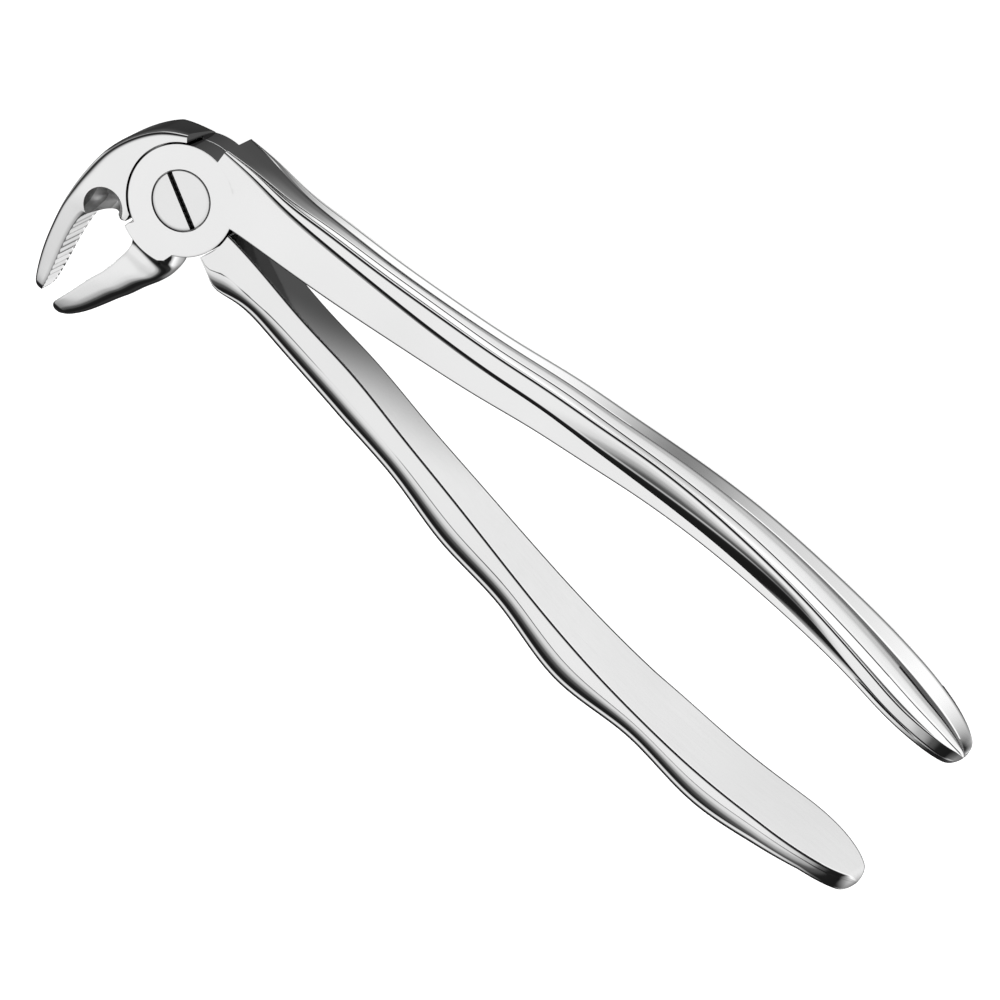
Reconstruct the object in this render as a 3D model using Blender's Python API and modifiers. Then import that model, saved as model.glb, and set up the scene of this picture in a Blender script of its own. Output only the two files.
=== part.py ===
"""Tooth-extraction forceps with two hawk-bill beaks, built as two lapped halves and a slotted pivot screw.

The hinge axis is +Z through the origin. The handles run along +X and the beaks point along -Y. Each half is
one forging: a handle, half the thickness of the joint as a round lap, and the beak across from its handle.
Driving dimensions are in millimetres and the model is in metres.
"""

from math import cos, pi, radians, sin

import bmesh
import bpy
from mathutils import Matrix

MM = 0.001

# Joint
JOINT_THICKNESS = 10.0
MID_PLANE = JOINT_THICKNESS / 2
LAP_RADIUS = 8.5
LAP_GAP = 0.3
RECESS_RADIUS = LAP_RADIUS + LAP_GAP

# Pivot screw: a flush slotted head, a smooth shoulder that the front half turns on, and a threaded end
HEAD_RADIUS = 4.55
HEAD_DEPTH = 2.4
SHOULDER_RADIUS = 3.2
THREAD_RADIUS = 2.75
RUNNING_CLEARANCE = 0.08
SEAT_CLEARANCE = 0.1
SLOT_WIDTH = 0.75
SLOT_DEPTH = 1.1
SLOT_TURN = radians(-29.3)
ROUND_SEGMENTS = 48

# Handles, seen from the side: half of their breadth along the hinge axis, at distances from the hinge
HANDLE_HALF_BREADTH = [(9.0, 5.0), (30.0, 5.05), (50.0, 5.5), (80.0, 7.2), (108.0, 9.0), (124.0, 9.3), (134.0, 8.2)]
HANDLE_END = 141.6

# Beaks, seen from the side: half of their thickness, at distances from the hinge towards the tips
BEAK_HALF_THICKNESS = [(7.0, 5.0), (12.0, 4.7), (20.0, 3.5), (26.5, 2.4)]
BEAK_END = 29.2

# Finger waves along the outer edge of the back half's handle
WAVE_HEIGHT = 0.6
WAVE_LENGTH = 25.8
FIRST_CREST = 62.5
LAST_CREST = 114.1

SMOOTH = "AUTO"
CORNER = "VECTOR"
CURVE_STEPS = 5
REACH = 60.0


def clear_scene():
    for obj in list(bpy.data.objects):
        bpy.data.objects.remove(obj, do_unlink=True)


def new_collection(name, hidden=False):
    collection = bpy.data.collections.new(name)
    collection.hide_render = hidden
    bpy.context.scene.collection.children.link(collection)
    return collection


def steel(name, shade, roughness):
    """Stainless steel, as a metal with a grey of its own."""
    material = bpy.data.materials.new(name)
    material.use_nodes = True
    shader = material.node_tree.nodes["Principled BSDF"]
    shader.inputs["Base Color"].default_value = (shade, shade, shade, 1.0)
    shader.inputs["Metallic"].default_value = 1.0
    shader.inputs["Roughness"].default_value = roughness
    return material


def smooth(points):
    return [(x, y, SMOOTH) for x, y in points]


def corner(x, y):
    return [(x, y, CORNER)]


def helper(mesh_object):
    """Makes an object a cutter: shown as a wire and left out of the render."""
    mesh_object.hide_render = True
    mesh_object.display_type = "WIRE"
    return mesh_object


def plate(name, outline, low, high, turn, collection):
    """A closed outline, in millimetres, made solid from low to high along its normal and turned into place."""
    curve = bpy.data.curves.new(name, "CURVE")
    curve.dimensions = "2D"
    curve.fill_mode = "BOTH"
    curve.resolution_u = CURVE_STEPS
    curve.extrude = (high - low) / 2 * MM
    spline = curve.splines.new("BEZIER")
    spline.bezier_points.add(len(outline) - 1)
    spline.use_cyclic_u = True
    for point, (x, y, kind) in zip(spline.bezier_points, outline):
        point.co = (x * MM, y * MM, 0.0)
        point.handle_left_type = kind
        point.handle_right_type = kind
    flat = bpy.data.objects.new(name + "_outline", curve)
    collection.objects.link(flat)
    flat.matrix_world = turn @ Matrix.Translation((0.0, 0.0, (low + high) / 2 * MM))
    bpy.context.view_layer.update()
    graph = bpy.context.evaluated_depsgraph_get()
    mesh = bpy.data.meshes.new_from_object(flat.evaluated_get(graph))
    mesh.transform(flat.matrix_world)
    bpy.data.objects.remove(flat, do_unlink=True)
    shape = bmesh.new()
    shape.from_mesh(mesh)
    bmesh.ops.remove_doubles(shape, verts=shape.verts, dist=1e-6)
    bmesh.ops.recalc_face_normals(shape, faces=shape.faces)
    shape.to_mesh(mesh)
    shape.free()
    solid = bpy.data.objects.new(name, mesh)
    collection.objects.link(solid)
    return solid


def cylinder(name, radius, low, high, collection):
    """An upright cylinder on the hinge axis, from low to high."""
    shape = bmesh.new()
    bmesh.ops.create_cone(
        shape, cap_ends=True, segments=ROUND_SEGMENTS, radius1=radius * MM, radius2=radius * MM,
        depth=(high - low) * MM, matrix=Matrix.Translation((0.0, 0.0, (low + high) / 2 * MM)),
    )
    mesh = bpy.data.meshes.new(name)
    shape.to_mesh(mesh)
    shape.free()
    solid = bpy.data.objects.new(name, mesh)
    collection.objects.link(solid)
    return solid


def combine(target, operation, other):
    boolean = target.modifiers.new(operation.title() + "_" + other.name, "BOOLEAN")
    boolean.operation = operation
    boolean.object = helper(other)
    boolean.solver = "EXACT"


def mirrored_profile(half_profile, end):
    """The outline of a piece that is alike above and below the mid-plane, closed by a round end."""
    rise = [(x, MID_PLANE + half) for x, half in half_profile]
    fall = [(x, MID_PLANE - half) for x, half in reversed(half_profile)]
    first = half_profile[0]
    root = [(-REACH, MID_PLANE - first[1], CORNER), (-REACH, MID_PLANE + first[1], CORNER)]
    return root + corner(*rise[0]) + smooth(rise[1:]) + smooth([(end, MID_PLANE)]) + smooth(fall[:-1]) + corner(*fall[-1])


def wave(x):
    """How far a finger wave stands out of the handle's edge at x."""
    if not FIRST_CREST - WAVE_LENGTH / 2 <= x <= LAST_CREST + WAVE_LENGTH / 2:
        return 0.0
    return WAVE_HEIGHT * cos(2 * pi * (x - FIRST_CREST) / WAVE_LENGTH)


def front_handle_outline():
    inner = [(28, 3.6), (44.4, 6.2), (62, 9.6), (79.7, 12.7), (97, 14.6), (109, 15.0), (121.7, 14.4), (132, 13.1)]
    end = [(138.5, 11.6), (140.9, 11.5), (141.4, 13.0)]
    outer = [(138.6, 14.6), (132.5, 16.0), (121, 17.6), (101, 19.2), (82, 18.5), (64, 16.5), (47, 14.1), (26, 11.7)]
    return corner(0, 0) + corner(8.4, 1.3) + smooth(inner + end + outer) + corner(0.9, 10.7)


def back_handle_outline():
    lap_edge = LAP_RADIUS * cos(radians(30)), -LAP_RADIUS * sin(radians(30))
    neck = [(8.6, -5.5), (10.2, -7.3)]
    edge = [(20, -7.6), (32, -8.9), (44, -10.6), (FIRST_CREST - WAVE_LENGTH / 4, -11.6)]
    axis = [(FIRST_CREST, -13.4), (75.4, -15.5), (88.3, -17.4), (101.2, -17.4), (LAST_CREST, -17.2), (127, -15.6)]
    waves = [(x, y - wave(x)) for x, y in axis]
    end = [(136, -14.0), (139.6, -13.2), (140.2, -12.2), (138.7, -11.7)]
    inner = [(130, -11.9), (118, -12.6), (107, -12.8), (95, -12.3), (79.5, -10.5), (60, -7.2), (42, -3.9), (28, -1.7)]
    return corner(0, 0) + corner(*lap_edge) + smooth(neck + edge + waves + end + inner) + corner(8.7, 0.8)


def front_beak_outline():
    jaw = [(-2.4, -13.2), (-3.3, -16.6), (-4.9, -21.0)]
    tip = [(-6.9, -26.8), (-6.6, -28.5), (-5.0, -28.1)]
    outside = [(-1.8, -24.3), (0.3, -20.4), (2.5, -16.0), (4.3, -12.6)]
    neck = corner(4.75, -10.2) + corner(3.9, -8.3) + corner(3.9, -5.0)
    return corner(-2.0, -5.0) + corner(-4.5, -8.2) + corner(-3.1, -9.7) + smooth(jaw + tip + outside) + neck


def back_beak_outline():
    shoulder = corner(-3.3, 6.0) + corner(-5.2, 8.7)
    back = [(-8.8, 6.3), (-11.8, 2.5), (-13.8, -2.1), (-14.6, -8.0), (-14.2, -15.2), (-12.6, -22.5)]
    tip = [(-10.5, -27.0), (-9.5, -26.8)]
    jaw = [(-9.6, -24.6), (-10.4, -19.5), (-10.9, -14.6)]
    throat = [(-10.1, -11.3), (-8.3, -9.9)]
    return shoulder + smooth(back + tip + jaw + throat) + corner(-5.1, -8.7) + corner(-3.6, -5.4)


def half(name, handle, beak, lap, recess, parts, cutters):
    """One forged half: its handle, its beak and its round lap, cut back round the other half's lap."""
    flat = Matrix.Identity(4)
    side_on = Matrix.Rotation(pi / 2, 4, "X")
    end_on = Matrix(((0, 0, 1, 0), (-1, 0, 0, 0), (0, -1, 0, 0), (0, 0, 0, 1)))
    body = plate(name, handle, -REACH, REACH, flat, parts)
    handle_side = mirrored_profile(HANDLE_HALF_BREADTH, HANDLE_END)
    combine(body, "INTERSECT", plate(name + "_handle_side", handle_side, -REACH, REACH, side_on, cutters))
    beak_solid = plate(name + "_beak", beak, -REACH, REACH, flat, cutters)
    beak_side = [(x, -z, kind) for x, z, kind in mirrored_profile(BEAK_HALF_THICKNESS, BEAK_END)]
    combine(beak_solid, "INTERSECT", plate(name + "_beak_side", beak_side, -REACH, REACH, end_on, cutters))
    combine(body, "UNION", beak_solid)
    combine(body, "UNION", cylinder(name + "_lap", LAP_RADIUS, lap[0], lap[1], cutters))
    combine(body, "DIFFERENCE", cylinder(name + "_recess", RECESS_RADIUS, recess[0], recess[1], cutters))
    return body


def make_front_half(parts, cutters):
    lap_floor = MID_PLANE + LAP_GAP / 2
    front = half(
        "front_half", front_handle_outline(), front_beak_outline(),
        (lap_floor, JOINT_THICKNESS), (-REACH, lap_floor), parts, cutters,
    )
    head_seat = JOINT_THICKNESS - HEAD_DEPTH - SEAT_CLEARANCE
    bore = SHOULDER_RADIUS + RUNNING_CLEARANCE
    counterbore = HEAD_RADIUS + RUNNING_CLEARANCE
    combine(front, "DIFFERENCE", cylinder("shoulder_bore", bore, -1.0, JOINT_THICKNESS + 1.0, cutters))
    combine(front, "DIFFERENCE", cylinder("head_counterbore", counterbore, head_seat, JOINT_THICKNESS + 2.0, cutters))
    return front


def make_back_half(parts, cutters):
    lap_roof = MID_PLANE - LAP_GAP / 2
    back = half(
        "back_half", back_handle_outline(), back_beak_outline(),
        (0.0, lap_roof), (lap_roof, REACH), parts, cutters,
    )
    combine(back, "DIFFERENCE", cylinder("thread_bore", THREAD_RADIUS + SEAT_CLEARANCE, -1.0, MID_PLANE, cutters))
    return back


def make_screw(parts, cutters):
    """A turned screw, its profile carried round the hinge axis, with a straight slot across its head."""
    seat = MID_PLANE - LAP_GAP / 2 + SEAT_CLEARANCE
    under_head = JOINT_THICKNESS - HEAD_DEPTH
    profile = [
        (0.0, JOINT_THICKNESS), (HEAD_RADIUS, JOINT_THICKNESS), (HEAD_RADIUS, under_head),
        (SHOULDER_RADIUS, under_head), (SHOULDER_RADIUS, seat), (THREAD_RADIUS, seat), (THREAD_RADIUS, 0.0), (0.0, 0.0),
    ]
    mesh = bpy.data.meshes.new("pivot_screw")
    mesh.from_pydata([(r * MM, 0.0, z * MM) for r, z in profile], [(i, i + 1) for i in range(len(profile) - 1)], [])
    screw = bpy.data.objects.new("pivot_screw", mesh)
    parts.objects.link(screw)
    turn = screw.modifiers.new("Turned", "SCREW")
    turn.steps = ROUND_SEGMENTS
    turn.render_steps = ROUND_SEGMENTS
    turn.use_merge_vertices = True
    turn.merge_threshold = 1e-5
    shape = bmesh.new()
    bmesh.ops.create_cube(shape, size=1.0)
    slot_size = Matrix.Diagonal((4 * HEAD_RADIUS * MM, SLOT_WIDTH * MM, 2 * SLOT_DEPTH * MM, 1.0))
    place = Matrix.Translation((0.0, 0.0, JOINT_THICKNESS * MM)) @ Matrix.Rotation(SLOT_TURN, 4, "Z") @ slot_size
    bmesh.ops.transform(shape, matrix=place, verts=shape.verts)
    slot_mesh = bpy.data.meshes.new("driver_slot")
    shape.to_mesh(slot_mesh)
    shape.free()
    slot = bpy.data.objects.new("driver_slot", slot_mesh)
    cutters.objects.link(slot)
    combine(screw, "DIFFERENCE", slot)
    return screw


def main():
    clear_scene()
    parts = new_collection("extraction_forceps")
    cutters = new_collection("cutters", hidden=True)
    front = make_front_half(parts, cutters)
    back = make_back_half(parts, cutters)
    screw = make_screw(parts, cutters)
    front.data.materials.append(steel("front_half_steel", 0.78, 0.12))
    back.data.materials.append(steel("back_half_steel", 0.76, 0.13))
    screw.data.materials.append(steel("screw_steel", 0.7, 0.18))
    hinge = bpy.data.objects.new("hinge_axis", None)
    parts.objects.link(hinge)
    front.parent = hinge
    for piece in (front, back, screw):
        piece.data.shade_smooth()
        piece.data.set_sharp_from_angle(angle=radians(30))


main()
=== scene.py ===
"""Tooth-extraction forceps in polished stainless steel: two lapped halves on a slotted pivot screw.

The hinge axis is +Z through the origin, the handles run along +X and the beaks point along -Y. Sizes are in
millimetres and the model is in metres.
"""

from math import cos, pi, radians, sin

import bmesh
import bpy
import numpy as np
from mathutils import Matrix, Vector


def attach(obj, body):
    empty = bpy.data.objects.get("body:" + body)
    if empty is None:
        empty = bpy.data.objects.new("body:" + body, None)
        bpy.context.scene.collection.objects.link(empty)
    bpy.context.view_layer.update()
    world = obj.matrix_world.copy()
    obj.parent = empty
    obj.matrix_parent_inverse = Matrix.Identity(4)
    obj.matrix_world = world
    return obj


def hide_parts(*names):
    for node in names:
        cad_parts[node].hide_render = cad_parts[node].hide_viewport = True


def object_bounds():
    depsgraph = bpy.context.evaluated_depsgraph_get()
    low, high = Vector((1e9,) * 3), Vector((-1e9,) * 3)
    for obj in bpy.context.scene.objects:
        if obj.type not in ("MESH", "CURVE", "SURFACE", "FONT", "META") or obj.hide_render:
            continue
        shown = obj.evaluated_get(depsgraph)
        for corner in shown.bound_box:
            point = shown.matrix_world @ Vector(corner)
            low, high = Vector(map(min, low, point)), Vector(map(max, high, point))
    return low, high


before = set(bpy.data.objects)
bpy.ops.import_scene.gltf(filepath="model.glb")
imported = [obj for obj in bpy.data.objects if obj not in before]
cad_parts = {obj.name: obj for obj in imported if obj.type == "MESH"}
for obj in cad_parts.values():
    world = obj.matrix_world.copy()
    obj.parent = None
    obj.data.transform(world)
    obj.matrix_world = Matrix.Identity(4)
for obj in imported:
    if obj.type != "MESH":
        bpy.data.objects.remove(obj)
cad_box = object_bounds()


# Front half: the forging whose lap lies on the screw head's side. Martensitic stainless steel, drop forged,
# ground and polished. Its handle runs from the shoulder beside the lap to a broad rounded end. The handle is
# a channel: flat sides, a rim along each side, and a low rib between two hollow flutes along its outer face.

MM = 0.001
MID_PLANE = 5.0  # where the laps meet, with the handles and beaks centred on it
LAP_RADIUS = 8.5
LAP_GAP = 0.3  # the parting gap between the laps and round them
LAP_EDGE = 0.12
SCREW_SIDE_EDGE = 0.4  # radius of the handle's inner edge on the screw head's side
FAR_SIDE_EDGE = 1.3  # and on the other side
HANDLE_END_LENGTH = 14.6  # the stretch that narrows to the broad round end
TIP_ROUND = 1.3  # the stretch whose thickness closes the end
BLOCK_STRETCH = (4, 16)  # the rim grows out of the plain block beside the joint over this stretch
SWING_STRETCH = 24  # the section turns square to its path over this stretch
FULL_RIM = 4  # rims thinner than this have a smaller nose
LEAST_NOSE = 0.1
LEAST_LIP, LIP = 0.02, 0.2  # the straight lip between shoulder and nose, at the block and along the handle
RIM_BEVEL = (0.18, 0.28)  # drop and breadth of the bevel from the rim into the flute
LEAST_BEVEL = 0.1  # share of the bevel that is left at the block
FLUTE_BOTTOM = 0.56  # share of the way from the rim to the rib
RIB_STEP = (0.12, 0.2)  # rise and inset of the small step along the rib
RIB_CROWN = 0.05


def spline(keys, at):
    """A natural cubic spline through rows of (place, values), read at the places in at.

    The second derivatives at the keys solve the usual three-band system, and each span between two keys is the
    cubic that has those second derivatives and passes through both keys.
    """
    keys = np.array(keys, float)
    place, value = keys[:, 0], keys[:, 1:]
    span = np.diff(place)
    inner = np.arange(1, len(place) - 1)
    bands = np.eye(len(place))
    bands[inner, inner - 1] = span[:-1]
    bands[inner, inner] = 2 * (span[:-1] + span[1:])
    bands[inner, inner + 1] = span[1:]
    change = np.zeros_like(value)
    change[1:-1] = 6 * np.diff(np.diff(value, axis=0) / span[:, None], axis=0)
    bend = np.linalg.solve(bands, change)
    i = np.clip(np.searchsorted(place, at) - 1, 0, len(place) - 2)
    before, after, width = (at - place[i])[:, None], (place[i + 1] - at)[:, None], span[i][:, None]
    cubic = (bend[i] * after**3 + bend[i + 1] * before**3) / (6 * width)
    line = (value[i] / width - bend[i] * width / 6) * after
    return cubic + line + (value[i + 1] / width - bend[i + 1] * width / 6) * before


def ease(x, low, high):
    """0 below low, 1 above high, and 3t^2 - 2t^3 between them."""
    t = np.clip((x - low) / (high - low), 0, 1)
    return t * t * (3 - 2 * t)


def bunched(low, high, count, pull=1.0):
    """Places from low to high that crowd towards high.

    They mix an even run with the sine of an even quarter turn, by the share pull.
    """
    t = np.linspace(0, 1, count)
    return low + (high - low) * ((1 - pull) * t + pull * np.sin(t * pi / 2))


def surface(name, rings):
    """A closed skin over a grid of points: quads join each ring to the next, and a flat face shuts each end."""
    rows, around, _ = rings.shape
    i, j = np.meshgrid(np.arange(rows - 1) * around, np.arange(around), indexing="ij")
    k = (j + 1) % around
    quads = np.stack([i + j, i + k, i + around + k, i + around + j], axis=-1).reshape(-1, 4)
    ends = [list(range(around))[::-1], list(range((rows - 1) * around, rows * around))]
    mesh = bpy.data.meshes.new(name)
    mesh.from_pydata((rings.reshape(-1, 3) * MM).tolist(), [], quads.tolist() + ends)
    shape = bmesh.new()
    shape.from_mesh(mesh)
    bmesh.ops.recalc_face_normals(shape, faces=shape.faces)
    shape.to_mesh(mesh)
    shape.free()
    solid = bpy.data.objects.new(name, mesh)
    bpy.context.scene.collection.objects.link(solid)
    return solid


CORE = 0.01  # radius of the small disc that closes a turned shape on its axis
BEYOND = 30  # how far the recess cutters reach past the steel
ABOVE = 12  # where the cutters that come from the screw head's side start, above its face


def turned(name, profile, around=128):
    """A profile of (radius, height) pairs carried round the hinge axis, closed at both ends by a small disc."""
    radius, height = np.array(profile, float).T
    turn = np.linspace(0, 2 * pi, around, endpoint=False)
    rings = np.empty((len(radius), around, 3))
    rings[..., 0] = radius[:, None] * np.cos(turn)
    rings[..., 1] = radius[:, None] * np.sin(turn)
    rings[..., 2] = height[:, None]
    return surface(name, rings)


def combine(target, operation, other):
    """Joins or cuts the target with the other solid, which is used up."""
    boolean = target.modifiers.new(operation, "BOOLEAN")
    boolean.operation = operation
    boolean.object = other
    boolean.solver = "EXACT"
    bpy.context.view_layer.update()
    graph = bpy.context.evaluated_depsgraph_get()
    made = bpy.data.meshes.new_from_object(target.evaluated_get(graph))
    old = target.data
    target.modifiers.clear()
    target.data = made
    bpy.data.meshes.remove(old)
    bpy.data.objects.remove(other, do_unlink=True)


def handle(name, side, inner, section, nose, bow, first, last, turn_end):
    """A handle as a section carried along its inner face, from X = first to last.

    side is +1 where the outer face is on +Y. inner is a spline of the inner face's Y over X. section is a
    spline over X of the half breadth, the thickness where the flat side ends, the width of the step beside it,
    the slope of the shoulder, the thickness and height of the rim, those of the rib's edge, and the depth of
    the flute. A ring runs up the inner face, round an edge, out along the flat side, down a hollow step and a
    shoulder that is straight by the share bow and falls as a square for the rest, round the rim's nose, down
    its bevel, across the flute and on to the rib's crown. The other half of the ring runs back the same way
    below the mid-plane. The section stands upright up to turn_end and then turns square to its path. The end's
    breadth closes as a half ellipse and its thickness as a quarter circle, so it is round both ways.
    """
    # Even rings up to the round end, then rings that crowd towards its tip.
    x = np.concatenate([np.linspace(first, last - 16, 130), bunched(last - 15.6, last - 0.005, 56)])
    y = spline(inner, x)[:, 0]
    tilt = np.arctan(np.gradient(y, x)) * ease(x, turn_end, turn_end + SWING_STRETCH)
    sizes = spline(section, np.minimum(x, section[-1][0]))
    broad, flat_end, step, slope_out, rim, rim_v, rib, rib_v, hollow = (sizes[:, [i]] for i in range(9))
    ends, thins = (np.sqrt(np.clip(1 - (np.clip(x - (last - length), 0, None) / length) ** 2, 0, 1))[:, None]
                   for length in (HANDLE_END_LENGTH, TIP_ROUND))
    broad, rim_v, rib_v = broad * ends, rim_v * ends, rib_v * ends
    full = ease(x, first + BLOCK_STRETCH[0], first + BLOCK_STRETCH[1])[:, None] * ends
    nose = (nose * full + LEAST_NOSE * ends) * np.minimum(1, rim / FULL_RIM)

    def along(*shares):
        """Shares of the way along one stretch of the ring, as a row."""
        return np.array(shares)[None, :]

    def half_ring(radius):
        """The part of the ring above the mid-plane, whose edge beside the inner face has this radius."""
        edge = np.minimum(radius, np.minimum(broad * 0.6, flat_end * 0.8))  # less where the handle is small
        up = along(0.0, 0.4, 0.8, 0.97)
        face_u, face_v = 0 * broad * up, (broad - edge) * up
        corner = radians(90) * along(0.0, 0.2, 0.4, 0.6, 0.8, 1.0)
        corner_u, corner_v = edge * (1 - np.cos(corner)), broad - edge * (1 - np.sin(corner))
        out = along(0.04, 0.35, 0.7, 0.96, 1.0)
        side_u, side_v = edge + (flat_end - edge) * out, broad + 0 * out
        lip = LEAST_LIP + LIP * full
        run = rim - nose - lip - flat_end - step
        slow = slope_out * run
        fast = np.maximum(broad - rim_v - slow, LEAST_LIP)
        down = along(0.04, 0.1, 0.2, 0.35, 0.5, 0.65, 0.8, 0.92, 1.0)
        step_down_u, step_down_v = flat_end + step * down, broad - fast * (1 - (1 - down) ** 1.5)
        fall = along(0.1, 0.25, 0.4, 0.55, 0.7, 0.85, 0.97, 1.0)
        fall_u, fall_v = flat_end + step + run * fall, broad - fast - slow * (bow * fall + (1 - bow) * fall**2)
        bend = radians(90) * along(0.0, 0.12, 0.25, 0.4, 0.55, 0.7, 0.85, 1.0)
        lip_u = rim - nose + nose * np.sin(bend)
        lip_v = broad - fast - slow - nose * (1 - np.cos(bend))
        drop, inset = (size * (LEAST_BEVEL + (1 - LEAST_BEVEL) * full) for size in RIM_BEVEL)
        bevel_u, bevel_v = rim - drop * along(0.5, 1.0), lip_v[:, -1:] - inset * along(0.5, 1.0)
        across = along(0.06, 0.16, 0.28, 0.4, 0.5, 0.56, 0.62, 0.7, 0.8, 0.9, 0.97)
        sinking = np.clip(across / FLUTE_BOTTOM, 0, 1)
        rising = np.clip((across - FLUTE_BOTTOM) / (1 - FLUTE_BOTTOM), 0, 1)
        flute_u = rim - hollow * sinking + (rib - rim + hollow) * rising**1.3 - drop * (1 - across)
        flute_v = bevel_v[:, -1:] + (rib_v - bevel_v[:, -1:]) * across
        rise_u, rise_v = rib + along(0.0, 0.08, RIB_STEP[0]), rib_v - along(0.0, 0.06, RIB_STEP[1])
        crown = along(0.35, 0.7, 1.0)
        crown_u, crown_v = rib + RIB_STEP[0] + RIB_CROWN * crown, (rib_v - RIB_STEP[1]) * (1 - crown)
        u = [face_u, corner_u, side_u, step_down_u, fall_u, lip_u, bevel_u, flute_u, rise_u, crown_u]
        v = [face_v, corner_v, side_v, step_down_v, fall_v, lip_v, bevel_v, flute_v, rise_v, crown_v]
        return np.concatenate(u, axis=1), np.concatenate(v, axis=1)

    u, v = half_ring(SCREW_SIDE_EDGE)
    far_u, far_v = half_ring(FAR_SIDE_EDGE)
    u, v = np.concatenate([u, far_u[:, -2:0:-1]], axis=1), np.concatenate([v, -far_v[:, -2:0:-1]], axis=1)
    middle = rim / 2
    u = middle + (u - middle) * thins
    rings = np.empty(u.shape + (3,))
    rings[..., 0] = x[:, None] - side * u * np.sin(tilt)[:, None]
    rings[..., 1] = y[:, None] + side * u * np.cos(tilt)[:, None]
    rings[..., 2] = MID_PLANE + v
    return surface(name, rings)


def beak(name, sides, half_thickness, power, flat, last, rows, teeth, lean=(0.0, 0.0)):
    """A beak as a section carried between two side curves.

    sides is a spline of the outer side's and the jaw's places over a running number, half_thickness one of half
    the thickness. A ring's points are given by a share across, 0 at the outer side and 1 at the jaw, and by a
    height of -1 to 1. The outer side follows a superellipse of the given power whose flat share of the width is
    straight, and the jaw is flat with small round edges. The last stretch shrinks to a round point. teeth is a
    span of running numbers, their count and their depth: V notches, sunk across the jaw. lean moves the root's
    far side by that much, and its near side not at all.
    """
    t = bunched(0, last, rows, 0.35)
    places = spline(sides, t)
    outer, jaw = places[:, :2], places[:, 2:]
    half = spline(half_thickness, t)
    shrink = np.sqrt(np.clip(1 - (np.clip(t - (last - 1), 0, None)) ** 2, 1e-4, 1))[:, None]
    turn = np.linspace(0, pi, 33)[1:-1]
    high = np.sign(np.cos(turn)) * np.abs(np.cos(turn)) ** (2 / power)
    bulge = np.sin(turn) ** (2 / power)
    edge_share, edge_high = np.array([1 - flat * 0.5, 0.93, 0.985, 1.0]), np.array([1.0, 0.995, 0.97, 0.9])
    jaw_high = np.linspace(-0.8, 0.8, 9)
    share = np.concatenate([(1 - flat) * (1 - bulge), edge_share, np.ones(9), edge_share[::-1]])
    high = np.concatenate([high, -edge_high, jaw_high, edge_high[::-1]])
    on_jaw = (share == 1.0).astype(float)
    middle = (outer + jaw) / 2
    across = outer[:, None, :] + (jaw - outer)[:, None, :] * share[None, :, None]
    first, stop, count, depth = teeth
    phase = (t - first) / (stop - first) * count
    notch = np.abs((phase % 1) * 2 - 1) * depth * ((phase > 0) & (phase < count))
    inward = (outer - jaw) / np.linalg.norm(outer - jaw, axis=1, keepdims=True)
    across = across + inward[:, None, :] * (notch[:, None] * on_jaw[None, :])[..., None]
    rings = np.empty((len(t), len(share), 3))
    rings[..., :2] = middle[:, None, :] + (across - middle[:, None, :]) * shrink[..., None]
    rings[..., 2] = MID_PLANE + half * shrink * high[None, :]
    at_root = np.clip(1 - t, 0, 1)[:, None] * (1 - high[None, :]) / 2
    rings[..., :2] += at_root[..., None] * np.array(lean)
    return surface(name, rings)


def slab(name, outline, low, high, edge=0.12):
    """A flat outline made solid from low to high, each edge eased by a quarter round.

    Rings of the outline step inwards along the corner bisectors by edge * (1 - cos) as they rise by edge * sin.
    """
    points = np.array(outline, float)
    before, after = np.roll(points, 1, axis=0) - points, np.roll(points, -1, axis=0) - points
    before /= np.linalg.norm(before, axis=1, keepdims=True)
    after /= np.linalg.norm(after, axis=1, keepdims=True)
    area = np.sum(points[:, 0] * np.roll(points[:, 1], -1) - np.roll(points[:, 0], -1) * points[:, 1])
    normal = np.stack([-after[:, 1], after[:, 0]], axis=1) * np.sign(area)
    before_normal = np.stack([before[:, 1], -before[:, 0]], axis=1) * np.sign(area)
    inward = normal + before_normal
    inward /= np.maximum(np.sum(inward * normal, axis=1, keepdims=True), 0.3)
    quarter = np.linspace(0, pi / 2, 5)
    inset = np.concatenate([edge * (1 - np.sin(quarter)), edge * (1 - np.cos(quarter))])
    height = np.concatenate([low + edge * (1 - np.cos(quarter)), high - edge * (1 - np.sin(quarter))])
    rings = np.empty((len(inset), len(points), 3))
    rings[..., :2] = points[None] + inward[None] * inset[:, None, None]
    rings[..., 2] = height[:, None]
    return surface(name, rings)


def arc(radius, first, last, count=24, centre=(0.0, 0.0)):
    """Points on a circle from one angle to another, in degrees: centre plus radius times (cos, sin)."""
    turn = np.radians(np.linspace(first, last, count))
    return [(centre[0] + radius * cos(a), centre[1] + radius * sin(a)) for a in turn]


def lap_disc(name, low, high):
    """A flat round lap turned from low to high, its lower rim cut at 45 degrees and its upper one rounded."""
    flat_radius, corner = LAP_RADIUS - LAP_EDGE, LAP_EDGE * 0.3
    return turned(name, [
        (CORE, low), (flat_radius * 0.97, low), (flat_radius, low), (LAP_RADIUS, low + LAP_EDGE),
        (LAP_RADIUS, high - LAP_EDGE), (LAP_RADIUS - corner, high - corner), (flat_radius, high),
        (flat_radius * 0.97, high), (CORE, high),
    ])


def pocket(name, radius, low, high):
    """A plain round cutter turned from low to high."""
    return turned(name, [(CORE, low), (radius, low), (radius, high), (CORE, high)])


def polish(piece):
    """Smooth shading that keeps corners sharper than 40 degrees, with flat faces left flat."""
    piece.data.shade_smooth()
    piece.data.set_sharp_from_angle(angle=radians(40))
    weighted = piece.modifiers.new("Weighted normals", "WEIGHTED_NORMAL")
    weighted.keep_sharp = True


front_inner = [
    (0, 0.0), (8.8, 1.5), (16.5, 2.3), (28, 3.6), (39.5, 5.3), (53.3, 7.7), (62, 9.6), (70.8, 11.2),
    (79.7, 12.8), (97, 14.7), (109, 15.0), (121.7, 14.4), (131.7, 13.1), (137.2, 12.2), (141.3, 11.3),
]
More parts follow.
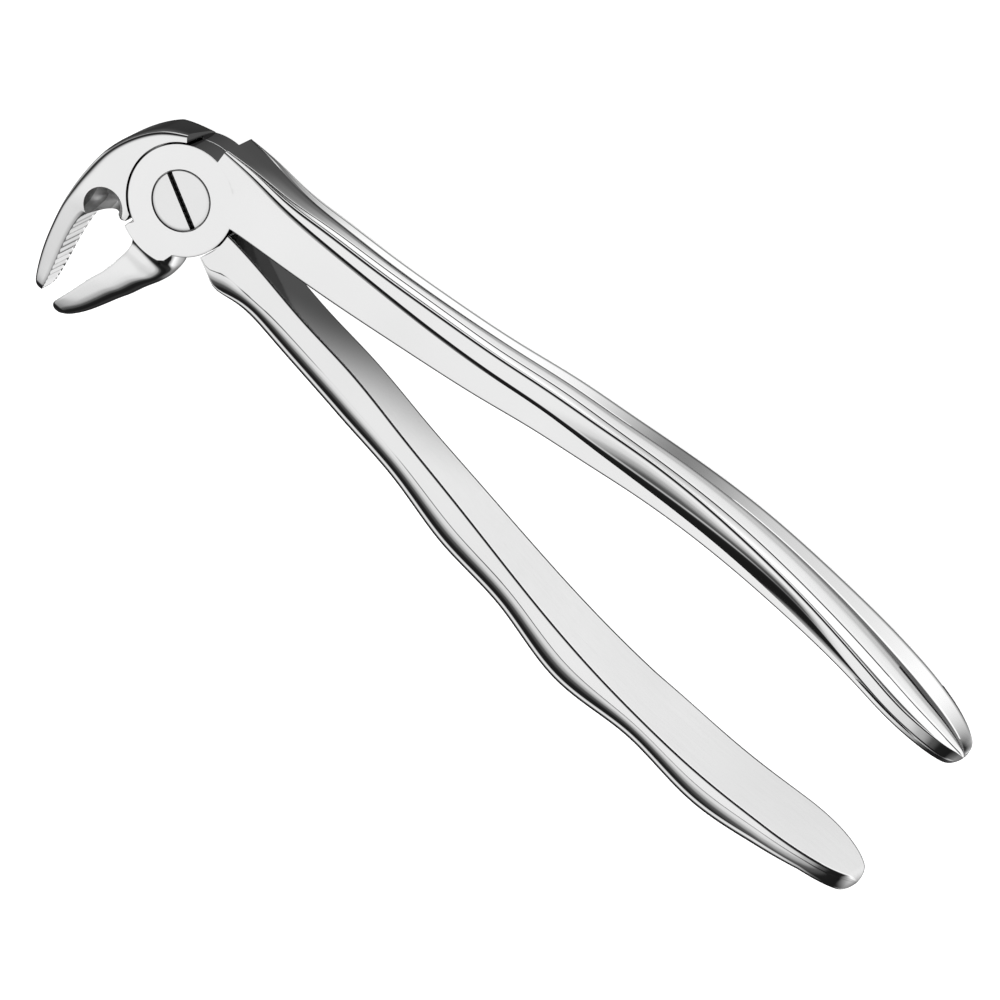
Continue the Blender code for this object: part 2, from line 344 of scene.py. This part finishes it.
# X, half breadth, flat side's end, step's width, shoulder's slope, rim's thickness and height, rib's thickness
# and height, flute's depth.
front_section = [
    (1, 5.0, 10.0, 0.2, 0.05, 10.45, 4.7, 10.3, 4.4, 0.02),
    (6, 5.0, 8.9, 0.3, 0.06, 9.75, 4.5, 9.5, 3.6, 0.1),
    (12, 5.0, 7.6, 0.4, 0.07, 8.8, 4.4, 8.5, 2.6, 0.25),
    (20, 5.0, 6.7, 0.45, 0.07, 8.5, 4.35, 8.2, 1.7, 0.4),
    (30, 5.05, 5.85, 0.45, 0.07, 8.0, 4.4, 7.7, 1.3, 0.45),
    (40, 5.2, 4.9, 0.45, 0.07, 7.5, 4.55, 7.2, 1.3, 0.5),
    (50, 5.5, 4.2, 0.45, 0.07, 7.05, 4.85, 6.75, 1.7, 0.55),
    (65, 6.3, 3.3, 0.5, 0.2, 6.25, 5.55, 5.9, 1.9, 0.75),
    (80, 7.2, 2.1, 0.8, 0.4, 5.4, 5.8, 4.85, 2.4, 0.95),
    (95, 8.2, 1.6, 1.1, 0.4, 4.5, 6.8, 4.0, 2.8, 0.95),
    (110, 9.1, 1.2, 1.0, 0.4, 3.5, 7.6, 2.9, 3.0, 1.0),
    (122, 9.3, 0.8, 0.4, 0.12, 2.85, 8.5, 2.1, 2.8, 1.15),
    (131, 9.3, 0.8, 0.25, 0.08, 2.65, 8.7, 1.8, 2.5, 1.1),
]
# Running number, outer side's X and Y, jaw's X and Y.
front_beak_sides = [
    (0, 3.7, -4.4, -1.8, -4.5), (1, 4.2, -8.3, -4.3, -7.9), (2, 4.6, -10.4, -3.2, -9.7),
    (3, 4.3, -12.6, -2.4, -12.0), (4, 3.5, -14.4, -2.6, -14.0), (5, 2.5, -16.2, -3.1, -16.0),
    (6, 1.5, -18.3, -3.8, -18.2), (7, 0.3, -20.4, -4.7, -20.4), (8, -1.8, -24.3, -6.1, -24.5),
    (9, -3.7, -26.9, -6.9, -26.9), (10, -5.2, -28.4, -6.6, -28.5),
]
front_beak_half = [
    (0, 4.9), (1, 4.9), (1.7, 4.85), (2.0, 4.35), (2.3, 3.75), (2.6, 3.5), (3, 3.55), (3.5, 3.8), (4.2, 3.95),
    (5, 3.9), (6, 3.73), (7, 3.49), (8, 2.9), (9, 2.34), (10, 1.9),
]
lap_floor = MID_PLANE + LAP_GAP / 2
jaw_teeth = (4.4, 9.0, 15, 0.22)
front = handle("front_half_forging", 1, front_inner, front_section, nose=0.4, bow=1.4, first=1.0, last=141.05,
               turn_end=2.0)
combine(front, "UNION", lap_disc("front_lap", lap_floor, 2 * MID_PLANE))
neck = [(-2.0, -5.0), (-4.4, -8.25)] + arc(10.1, -117, -76, 16) + [(3.3, -9.1), (3.9, -7.2), (3.9, -5.0)]
combine(front, "UNION", slab("front_neck", neck, 0.4, 2 * MID_PLANE))
combine(front, "UNION", beak("front_beak", front_beak_sides, front_beak_half, power=3.2, flat=0.25, last=10,
                             rows=200, teeth=jaw_teeth))
combine(front, "DIFFERENCE", pocket("front_recess", LAP_RADIUS + LAP_GAP, -BEYOND, lap_floor))
HEAD_RADIUS = 4.55
HEAD_SEAT = 7.5
SHOULDER_BORE = 3.28
head_bore, mouth = HEAD_RADIUS + 0.08, HEAD_RADIUS + 0.2
combine(front, "DIFFERENCE", turned("front_bore", [
    (CORE, -1), (SHOULDER_BORE, -1), (SHOULDER_BORE, HEAD_SEAT), (head_bore, HEAD_SEAT), (head_bore, 9.9),
    (mouth, 10.02), (mouth, ABOVE), (CORE, ABOVE),
]))
polish(front)


MARK_DEPTH = 0.00002  # twenty microns, in metres: the deepest strokes and tool marks


def linear(hex_colour):
    """A hex sRGB colour as linear light, by the sRGB curve."""
    parts = [int(hex_colour[i:i + 2], 16) / 255 for i in (1, 3, 5)]
    return (*[p / 12.92 if p <= 0.04045 else ((p + 0.055) / 1.055) ** 2.4 for p in parts], 1.0)


def node(tree, kind, settings=(), values=(), links=()):
    """Adds a node with its settings and its inputs' values, and links other nodes' outputs to its inputs."""
    made = tree.nodes.new(kind)
    for name, value in dict(settings).items():
        setattr(made, name, value)
    for name, value in dict(values).items():
        made.inputs[name].default_value = value
    for name, output in dict(links).items():
        tree.links.new(output, made.inputs[name])
    return made


def empty_material(name):
    """A new material with no nodes, and its node tree."""
    material = bpy.data.materials.new(name)
    material.use_nodes = True
    material.node_tree.nodes.clear()
    return material, material.node_tree


def polished_steel(name, bright, dull, roughness, stroke):
    """Stainless steel ground with fine grit and buffed: a grey mirror with faint strokes left along the piece.

    stroke is how often the strokes change per metre along X, Y and Z: noise stretched where that is low,
    which moves the roughness a little and tips the surface by microns. Broad soft noise varies the tone from
    bright to dull, as handling and passivation do, and sparse fine scratches cross the strokes.
    """
    material, tree = empty_material(name)
    place = node(tree, "ShaderNodeTexCoord").outputs["Object"]
    along = node(tree, "ShaderNodeMapping", values={"Scale": stroke}, links={"Vector": place}).outputs[0]
    strokes = node(tree, "ShaderNodeTexNoise", values={"Scale": 1.0, "Detail": 4.0, "Roughness": 0.6},
                   links={"Vector": along}).outputs["Fac"]
    tone = node(tree, "ShaderNodeTexNoise", values={"Scale": 45.0, "Detail": 3.0}, links={"Vector": place})
    crossed = node(tree, "ShaderNodeMapping",
                   values={"Scale": (700.0, 9000.0, 700.0), "Rotation": (0.2, 0.1, 0.6)},
                   links={"Vector": place}).outputs[0]
    fine = node(tree, "ShaderNodeTexNoise", values={"Scale": 1.0, "Detail": 1.0}, links={"Vector": crossed})
    sparse = node(tree, "ShaderNodeMapRange", values={"From Min": 0.68, "From Max": 0.8},
                  links={"Value": fine.outputs["Fac"]}).outputs[0]
    colour = node(tree, "ShaderNodeMix", {"data_type": "RGBA"}, links={"Factor": tone.outputs["Fac"]})
    colour.inputs["A"].default_value = linear(bright)
    colour.inputs["B"].default_value = linear(dull)
    range_of_polish = {"From Min": 0.3, "From Max": 0.7, "To Min": roughness * 0.7, "To Max": roughness * 1.4}
    rough = node(tree, "ShaderNodeMapRange", values=range_of_polish, links={"Value": strokes}).outputs[0]
    marks = node(tree, "ShaderNodeMath", {"operation": "MULTIPLY_ADD"}, {1: 0.35},
                 {0: sparse, 2: strokes}).outputs[0]
    bump = node(tree, "ShaderNodeBump", values={"Strength": 0.06, "Distance": MARK_DEPTH},
                links={"Height": marks}).outputs["Normal"]
    shader = node(tree, "ShaderNodeBsdfPrincipled",
                  values={"Metallic": 1.0, "Specular Tint": (0.25, 0.25, 0.25, 1.0)},
                  links={"Base Color": colour.outputs["Result"], "Roughness": rough, "Normal": bump})
    node(tree, "ShaderNodeOutputMaterial", links={"Surface": shader.outputs["BSDF"]})
    return material


# Buffed martensitic stainless steel: a bright grey mirror, whose strokes run along the handle.
BUFFED = 0.09
ALONG_HANDLE = (60.0, 2600.0, 2600.0)
front.data.materials.clear()
front.data.materials.append(
    polished_steel("buffed_stainless_front", "#dcdcdc", "#d2d2d2", BUFFED, ALONG_HANDLE))
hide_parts("front_half")
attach(front, "front")


# Back half: the matching forging, in the same steel, with the lap that holds the screw's thread. Its handle
# hugs the front lap and has three shallow finger waves along its outer edge, and its flat-sided beak hooks
# round the joint to meet the other one.

back_inner = [
    (4, 1.0), (8.8, 0.8), (18.4, -0.5), (25, -1.6), (35.5, -2.8), (47.5, -5.0), (55.6, -6.4), (66.5, -8.3),
    (79.5, -10.5), (92, -12.0), (101.7, -12.6), (110, -12.8), (118, -12.6), (126, -12.1), (133, -11.8),
    (140.2, -11.8),
]
back_section = [
    (4, 5.0, 4.0, 0.2, 0.05, 4.6, 4.75, 4.5, 3.5, 0.05),
    (7, 5.0, 5.3, 0.2, 0.05, 5.8, 4.7, 5.7, 3.0, 0.05),
    (8.5, 5.0, 6.0, 0.2, 0.05, 6.5, 4.7, 6.4, 2.5, 0.1),
    (9.6, 5.0, 6.0, 0.2, 0.1, 7.0, 4.65, 6.9, 2.3, 0.2),
    (10.8, 5.0, 5.4, 0.2, 0.2, 7.7, 4.45, 7.4, 2.1, 0.5),
    (15, 5.0, 4.4, 0.2, 0.34, 7.3, 4.3, 6.8, 1.8, 0.7),
    (22, 5.0, 3.4, 0.2, 0.34, 6.4, 4.3, 5.9, 1.5, 0.9),
    (31, 5.05, 3.3, 0.2, 0.34, 6.6, 4.3, 6.1, 1.4, 0.95),
    (40, 5.2, 3.2, 0.2, 0.34, 6.6, 4.5, 6.0, 1.4, 1.0),
    (50, 5.5, 2.7, 0.2, 0.34, 6.0, 4.75, 5.5, 1.6, 1.05),
    (62.5, 6.1, 2.9, 0.2, 0.34, 6.6, 5.2, 6.0, 1.9, 1.2),
    (75, 6.9, 2.0, 0.2, 0.34, 5.5, 6.0, 5.0, 2.3, 1.2),
    (88, 7.8, 2.5, 0.2, 0.34, 6.3, 6.7, 5.6, 2.6, 1.25),
    (101, 8.6, 1.2, 0.2, 0.34, 4.2, 7.6, 3.5, 2.9, 1.2),
    (114, 9.2, 1.5, 0.2, 0.3, 4.9, 8.1, 4.1, 2.9, 1.25),
    (125, 9.3, 1.1, 0.2, 0.22, 4.0, 8.5, 3.3, 2.7, 1.2),
    (133, 9.3, 0.8, 0.2, 0.16, 3.0, 8.7, 2.3, 2.5, 1.1),
]
back_beak_sides = [
    (0, -5.2, 8.7, -3.3, 6.0), (1, -8.8, 6.3, -5.0, 3.0), (2, -11.8, 2.5, -6.0, 0.0),
    (3, -13.8, -2.1, -6.0, -3.5), (4, -14.5, -6.2, -4.9, -8.4), (4.5, -14.58, -7.6, -6.1, -8.8),
    (5, -14.62, -9.0, -7.3, -9.6), (6, -14.5, -12.3, -10.1, -11.5),
    (7, -14.15, -15.4, -10.9, -14.7), (8, -13.4, -19.6, -10.5, -19.0), (9, -12.4, -23.2, -9.85, -22.9),
    (10, -11.3, -25.9, -9.5, -25.9), (11, -10.3, -27.4, -9.5, -27.3),
]
back_beak_half = [
    (0, 5.0), (1, 5.0), (2, 5.0), (3, 5.0), (4, 4.99), (5, 4.9), (6, 4.6), (7, 4.2), (8, 3.6), (9, 3.0),
    (10, 2.5), (11, 2.0),
]
lap_roof = MID_PLANE - LAP_GAP / 2
jaw_teeth = (6.5, 10.5, 15, 0.3)
back = handle("back_half_forging", -1, back_inner, back_section, nose=0.7, bow=0.15, first=4.0, last=140.1,
              turn_end=4.0)
combine(back, "UNION", beak("back_beak", back_beak_sides, back_beak_half, power=6.0, flat=0.5, last=11,
                            rows=230, teeth=jaw_teeth, lean=(1.15, -0.83)))
# The recess goes a little below the lap's face and the lap starts a little above the half's, so that no two
# faces coincide.
combine(back, "DIFFERENCE", pocket("back_recess", LAP_RADIUS + LAP_GAP, lap_roof - 0.4, BEYOND))
combine(back, "UNION", lap_disc("back_lap", 0.01, lap_roof))
THREAD_BORE = 2.85
bore_mouth = THREAD_BORE + 0.1
combine(back, "DIFFERENCE", turned("back_bore", [
    (CORE, -1), (bore_mouth, -1), (bore_mouth, 0.1), (THREAD_BORE, 0.25), (THREAD_BORE, 8), (CORE, 8),
]))

# The throat at the beak's root is dished with a pointed cutter, which clears a tooth's crown.
THROAT = (-8.8, -9.3)
throat_profile = [
    (0.05, 4.2), (1.1, 5.0), (1.6, 6.2), (1.9, 7.4), (2.3, 8.5), (2.9, 9.5), (3.7, 10.5), (0.05, 10.6),
]
throat_cutter = turned("throat_dish", throat_profile)
throat_cutter.data.transform(Matrix.Translation((THROAT[0] * MM, THROAT[1] * MM, 0.0)))
combine(back, "DIFFERENCE", throat_cutter)
polish(back)

# The same buffed steel from another bar, a shade darker.
back.data.materials.clear()
back.data.materials.append(
    polished_steel("buffed_stainless_back", "#dadada", "#d0d0d0", BUFFED, ALONG_HANDLE))


def milled_steel(name, bright, dull, roughness, pitch):
    """Steel as the cutter left it: dull, with fine tool marks a pitch apart across the cut; where it is given
    dark colours, as in the driver slot, these are painted shade.

    The marks are saw-tooth waves, whose scale of 1 makes 20 of them to a unit.
    """
    material, tree = empty_material(name)
    place = node(tree, "ShaderNodeTexCoord").outputs["Object"]
    marks = node(tree, "ShaderNodeTexWave", {"wave_profile": "SAW"},
                 {"Scale": 1 / (20 * pitch * MM), "Distortion": 1.5}, {"Vector": place}).outputs["Fac"]
    # The two colours follow the tool marks; dark colours given here are painted shade.
    tool_marks_and_shade_tone = node(tree, "ShaderNodeMix", {"data_type": "RGBA"}, {"A": linear(bright), "B": linear(dull)},
                 {"Factor": marks}).outputs["Result"]
    bump = node(tree, "ShaderNodeBump", values={"Strength": 0.4, "Distance": MARK_DEPTH},
                links={"Height": marks})
    shader = node(tree, "ShaderNodeBsdfPrincipled", values={"Metallic": 1.0, "Roughness": roughness},
                  links={"Base Color": tool_marks_and_shade_tone, "Normal": bump.outputs["Normal"]})
    node(tree, "ShaderNodeOutputMaterial", links={"Surface": shader.outputs["BSDF"]})
    return material


def face_centres(piece):
    """The middles of all the faces, in millimetres."""
    middle = np.empty(len(piece.data.polygons) * 3)
    piece.data.polygons.foreach_get("center", middle)
    return middle.reshape(-1, 3) / MM


# Ground steel in the throat, which the polishing wheel doesn't reach, so it has a soft grey sheen. Its faces
# are the ones whose middles lie on the cutter's profile.
NEAR_CUTTER = 0.06
THROAT_HEIGHTS = (4.3, 9.99)
middle = face_centres(back)
from_throat = np.hypot(middle[:, 0] - THROAT[0], middle[:, 1] - THROAT[1])
wall_radius, wall_height = np.array(throat_profile[:-1]).T
in_throat = np.abs(from_throat - np.interp(middle[:, 2], wall_height, wall_radius)) < NEAR_CUTTER
in_throat &= (middle[:, 2] > THROAT_HEIGHTS[0]) & (middle[:, 2] < THROAT_HEIGHTS[1])
back.data.materials.append(milled_steel("ground_throat_steel", "#e0e0e0", "#b0b0b0", 0.42, 0.2))
back.data.polygons.foreach_set("material_index", in_throat.astype(np.int32))
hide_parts("back_half")
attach(back, "back")


# Pivot screw: turned from stainless bar, its head sunk flush in the front lap, a smooth shoulder that the front
# half turns on, and a thread in the back lap. A straight driver slot is milled across the head.

SLOT_WIDTH = 0.85
SLOT_FLOOR = 8.9
SLOT_TURN = radians(-29.3)
SLOT_ENDS = 0.12  # how far short of the head's rim the slot stops
screw_profile = [
    (0.01, 0.02), (2.4, 0.02), (2.72, 0.3), (2.72, 4.9), (3.2, 4.95), (3.2, 7.6), (4.55, 7.6), (4.55, 9.86),
    (4.51, 9.94), (4.42, 9.985), (3.9, 9.995), (0.01, 9.998),
]
screw = turned("pivot_screw_turned", screw_profile, 160)
reach, half_slot = HEAD_RADIUS - SLOT_ENDS, SLOT_WIDTH / 2
slot_outline = [(-reach, -half_slot), (reach, -half_slot), (reach, half_slot), (-reach, half_slot)]
slot_cutter = slab("driver_slot", slot_outline, SLOT_FLOOR, ABOVE, edge=0.3)
slot_cutter.data.transform(Matrix.Rotation(SLOT_TURN, 4, "Z"))
combine(screw, "DIFFERENCE", slot_cutter)
polish(screw)
middle = face_centres(screw)
beside_slot = np.abs(middle[:, 1] * cos(SLOT_TURN) - middle[:, 0] * sin(SLOT_TURN))
in_slot = (beside_slot < half_slot + 0.01) & (middle[:, 2] > SLOT_FLOOR - 0.05) & (middle[:, 2] < 9.97)

# Turned and lightly polished stainless steel: a greyer mirror with finer marks than the forgings'.
screw.data.materials.clear()
screw.data.materials.append(
    polished_steel("turned_stainless", "#d8d8d8", "#cdcdcd", 0.12, (900.0, 2600.0, 900.0)))

# As-milled steel inside the slot, with the shade in the slot painted into its near-black colour beside the
# polished head.
screw.data.materials.append(milled_steel("slot_steel_painted_shade", "#5a5a5a", "#1c1c1c", 0.45, 0.12))
screw.data.polygons.foreach_set("material_index", in_slot.astype(np.int32))
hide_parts("pivot_screw")
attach(screw, "back")


# Table, light and camera: a pale table lit from within, one broad soft light overhead in a dim room, dark cards
# that the polished steel mirrors as its black bands, one of them a sheet of painted shade under the joint, and
# a long lens that looks down on the joint's front face.

FLOOR_HEIGHT = cad_box[0][2] - 0.00002


def level_square(name, reach, height):
    """A square plate, level at one height in metres, with its middle on the hinge axis."""
    mesh = bpy.data.meshes.new(name)
    mesh.from_pydata([(-reach, -reach, height), (reach, -reach, height), (reach, reach, height),
                      (-reach, reach, height)], [], [(0, 1, 2, 3)])
    plate = bpy.data.objects.new(name, mesh)
    bpy.context.scene.collection.objects.link(plate)
    return plate


# Opal acrylic, lit from below: an even white. The steel mirrors the room's light in its place.
floor = level_square("pale_table", 3.0, FLOOR_HEIGHT)
opal = bpy.data.materials.new("opal_table_top")
opal.use_nodes = True
opal_inputs = opal.node_tree.nodes["Principled BSDF"].inputs
for socket, value in {"Base Color": linear("#f6f6f6"), "Roughness": 0.9, "Specular IOR Level": 0.0,
                      "Emission Color": linear("#ffffff"), "Emission Strength": 0.95}.items():
    opal_inputs[socket].default_value = value
floor.data.materials.append(opal)
floor.visible_glossy = False

# A dark sheet of painted shade under the joint, which only the steel sees: it stands in for the shade beneath
# the joint, and its reflection darkens the walls beside the laps. Its edges fade out along a slanted line
# towards the handles, and behind and in front of the joint.
SHADE_CARD_LIGHT = 0.15
SHADE_CARD_SLANT = 1.5
shade_card = level_square("painted_shade_card", 0.06, FLOOR_HEIGHT + 0.0003)
shade_card_material, shade_card_nodes = empty_material("painted_shade_sheet")
spot = node(shade_card_nodes, "ShaderNodeSeparateXYZ",
            links={"Vector": node(shade_card_nodes, "ShaderNodeTexCoord").outputs["Object"]}).outputs
slanted = node(shade_card_nodes, "ShaderNodeMath", {"operation": "MULTIPLY_ADD"}, {1: SHADE_CARD_SLANT},
               {0: spot["Y"], 2: spot["X"]}).outputs[0]
thin = None
for place, held, gone in [(slanted, 0.026, 0.056), (spot["Y"], 0.019, 0.023), (spot["Y"], -0.006, -0.012)]:
    fade = node(shade_card_nodes, "ShaderNodeMapRange", {"interpolation_type": "SMOOTHSTEP"},
                {"From Min": held, "From Max": gone}, {"Value": place}).outputs[0]
    thin = fade if thin is None else node(shade_card_nodes, "ShaderNodeMath", {"operation": "MAXIMUM"},
                                          links={0: fade, 1: thin}).outputs[0]
dark = node(shade_card_nodes, "ShaderNodeEmission", values={"Color": (SHADE_CARD_LIGHT, SHADE_CARD_LIGHT, SHADE_CARD_LIGHT, 1.0)}).outputs[0]
clear = node(shade_card_nodes, "ShaderNodeBsdfTransparent").outputs[0]
faded = node(shade_card_nodes, "ShaderNodeMixShader", links={0: thin, 1: dark, 2: clear}).outputs[0]
node(shade_card_nodes, "ShaderNodeOutputMaterial", links={"Surface": faded})
shade_card.data.materials.append(shade_card_material)
shade_card.visible_camera = shade_card.visible_diffuse = shade_card.visible_shadow = shade_card.visible_transmission = False

# The room: the soft light's glow round its own direction, drawn out towards the handles' ends.
world = bpy.data.worlds.new("dim_studio")
bpy.context.scene.world = world
world.use_nodes = True
sky = world.node_tree
sky.nodes.clear()
SOFTBOX = Vector((-0.28, -0.28, 0.92)).normalized()
DRAWN_OUT = -0.6
direction = node(sky, "ShaderNodeTexCoord").outputs["Generated"]
part = node(sky, "ShaderNodeSeparateXYZ", links={"Vector": direction}).outputs
rightward = node(sky, "ShaderNodeMath", {"operation": "MAXIMUM"}, {1: 0.0}, {0: part["X"]}).outputs[0]
drawn_in = node(sky, "ShaderNodeMath", {"operation": "MULTIPLY_ADD"}, {1: DRAWN_OUT},
                {0: rightward, 2: part["X"]}).outputs[0]
stretched = node(sky, "ShaderNodeCombineXYZ", links={"X": drawn_in, "Y": part["Y"], "Z": part["Z"]}).outputs[0]
aim = node(sky, "ShaderNodeVectorMath", {"operation": "NORMALIZE"}, links={0: stretched}).outputs["Vector"]
toward = node(sky, "ShaderNodeVectorMath", {"operation": "DOT_PRODUCT"}, {1: SOFTBOX},
              {0: aim}).outputs["Value"]
glow = node(sky, "ShaderNodeValToRGB", links={"Fac": toward})
glow.color_ramp.interpolation = "EASE"
falloff = [(0.0, 0.012), (0.55, 0.015), (0.72, 0.1), (0.84, 0.5), (0.91, 0.85), (0.98, 1.0)]
for extra in falloff[2:]:
    glow.color_ramp.elements.new(0.5)
for element, (place, light) in zip(glow.color_ramp.elements, falloff):
    element.position = place
    element.color = (light, light, light, 1.0)

# Below the horizon the steel mirrors the lit table, less its own shadow straight down and a dark card in front.
table_glow = node(sky, "ShaderNodeMapRange", {}, {"From Min": -0.02, "From Max": -0.5, "To Max": 1.3},
                  {"Value": part["Z"]}).outputs[0]
for axis, start, stop, before, after in [("Z", -0.91, -0.95, 1.0, 0.0), ("Y", -0.6, -0.3, 0.03, 1.0)]:
    shade = node(sky, "ShaderNodeMapRange", {},
                 {"From Min": start, "From Max": stop, "To Min": before, "To Max": after},
                 {"Value": part[axis]}).outputs[0]
    table_glow = node(sky, "ShaderNodeMath", {"operation": "MULTIPLY"},
                      links={0: table_glow, 1: shade}).outputs[0]
both = node(sky, "ShaderNodeMix", {"data_type": "RGBA", "blend_type": "ADD"}, {"Factor": 1.0},
            {"A": glow.outputs["Color"], "B": table_glow}).outputs["Result"]
seen = node(sky, "ShaderNodeLightPath").outputs["Is Camera Ray"]
room = node(sky, "ShaderNodeBackground", values={"Strength": 1.22}, links={"Color": both}).outputs[0]
backdrop = node(sky, "ShaderNodeBackground",
                values={"Color": (1.0, 1.0, 1.0, 1.0), "Strength": 0.95}).outputs[0]
either = node(sky, "ShaderNodeMixShader", links={0: seen, 1: room, 2: backdrop}).outputs[0]
node(sky, "ShaderNodeOutputWorld", links={"Surface": either})

# The camera is far off on a long lens, so it sees the flat sides almost without perspective.
VIEW_WIDTH = 0.1466
LENS, SENSOR = 800.0, 36.0
to_camera = Vector((0.1610, 0.4010, 0.9018)).normalized()
right = Vector((0.7439, 0.5513, -0.3779)).normalized()
upward = to_camera.cross(right)
target = Vector((62.35, -8.13, -2.52)) * MM
camera_data = bpy.data.cameras.new("long_lens")
camera_data.lens = LENS
camera_data.sensor_width = SENSOR
camera = bpy.data.objects.new("long_lens", camera_data)
bpy.context.scene.collection.objects.link(camera)
distance = VIEW_WIDTH / SENSOR * LENS
turn = Matrix((right, upward, to_camera)).transposed().to_4x4()
camera.matrix_world = Matrix.Translation(target + to_camera * distance) @ turn
camera_data.clip_start, camera_data.clip_end = 0.1, 20.0
bpy.context.scene.camera = camera
bpy.context.scene.view_settings.view_transform = "Standard"
